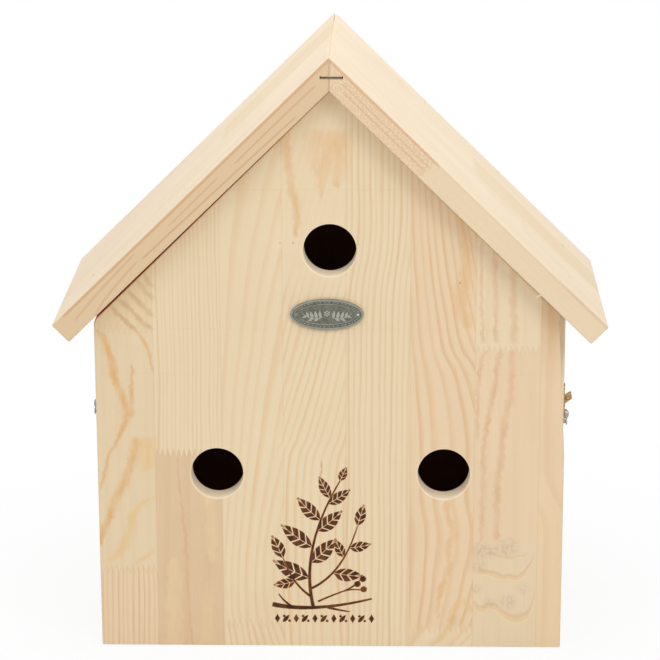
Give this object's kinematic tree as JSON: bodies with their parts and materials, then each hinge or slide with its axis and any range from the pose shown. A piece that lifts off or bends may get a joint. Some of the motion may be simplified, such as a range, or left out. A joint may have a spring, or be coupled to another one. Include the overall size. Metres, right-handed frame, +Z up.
{
  "type": "sparrow nest box",
  "caption": "Gabled pine nest box with round entry holes, a shelf and divider inside, an overhanging roof, a lift-off front and turn hooks.",
  "frame": {"origin": "middle of the box's footprint, on the ground it stands on", "axes": "+Z up, the front with its entry holes looks along -Y, +X to the right seen from the front"},
  "size_m": [0.3418, 0.1666, 0.3828],
  "materials": {
    "pine": "planed, finger-jointed and edge-glued pine, unfinished",
    "beech": "plain dowel",
    "zinc": "bright zinc plate",
    "yellow_zinc": "yellow-passivated zinc plate",
    "pewter": "cast, aged pewter colour",
    "brad_steel": "dark steel"
  },
  "bodies": {
    "box": {"back_board": "pine", "left_side_board": "pine", "right_side_board": "pine", "floor_board": "pine", "chamber_shelf": "pine", "chamber_divider": "pine", "left_roof_board": "pine", "right_roof_board": "pine", "left_roof_brad_1": "brad_steel", "left_roof_brad_2": "brad_steel", "left_roof_brad_3": "brad_steel", "left_gable_brad_1": "brad_steel", "left_gable_brad_2": "brad_steel", "left_back_brad_1": "brad_steel", "left_back_brad_2": "brad_steel", "left_floor_brad_1": "brad_steel", "left_floor_brad_2": "brad_steel", "left_shelf_brad_1": "brad_steel", "left_shelf_brad_2": "brad_steel", "right_roof_brad_1": "brad_steel", "right_roof_brad_2": "brad_steel", "right_roof_brad_3": "brad_steel", "right_gable_brad_1": "brad_steel", "right_gable_brad_2": "brad_steel", "right_back_brad_1": "brad_steel", "right_back_brad_2": "brad_steel", "right_floor_brad_1": "brad_steel", "right_floor_brad_2": "brad_steel", "right_shelf_brad_1": "brad_steel", "right_shelf_brad_2": "brad_steel", "divider_foot_brad_1": "brad_steel", "divider_foot_brad_2": "brad_steel", "divider_top_brad_1": "brad_steel", "divider_top_brad_2": "brad_steel", "left_dowel": "beech", "right_dowel": "beech", "ridge_staple_front": "zinc", "ridge_staple_back": "zinc", "left_pivot_screw": "zinc", "right_pivot_screw": "zinc"},
    "front": {"front_board": "pine", "badge_plate": "pewter", "left_badge_pin": "pewter", "right_badge_pin": "pewter", "left_catch_pin": "zinc", "right_catch_pin": "zinc"},
    "left_hook": {"left_hook": "yellow_zinc"},
    "right_hook": {"right_hook": "yellow_zinc"}
  },
  "joints": [
    {"name": "front_slide", "type": "slide", "parent": "box", "child": "front", "axis": [0, -1, 0], "range_m": [0, 0.15]},
    {"name": "left_hook_turn", "type": "hinge", "parent": "box", "child": "left_hook", "pos_m": [-0.147, -0.04805, 0.1553], "axis": [1, 0, 0], "range_deg": [-90, 90]},
    {"name": "right_hook_turn", "type": "hinge", "parent": "box", "child": "right_hook", "pos_m": [0.147, -0.04805, 0.1497], "axis": [1, 0, 0], "range_deg": [-90, 90]}
  ]
}
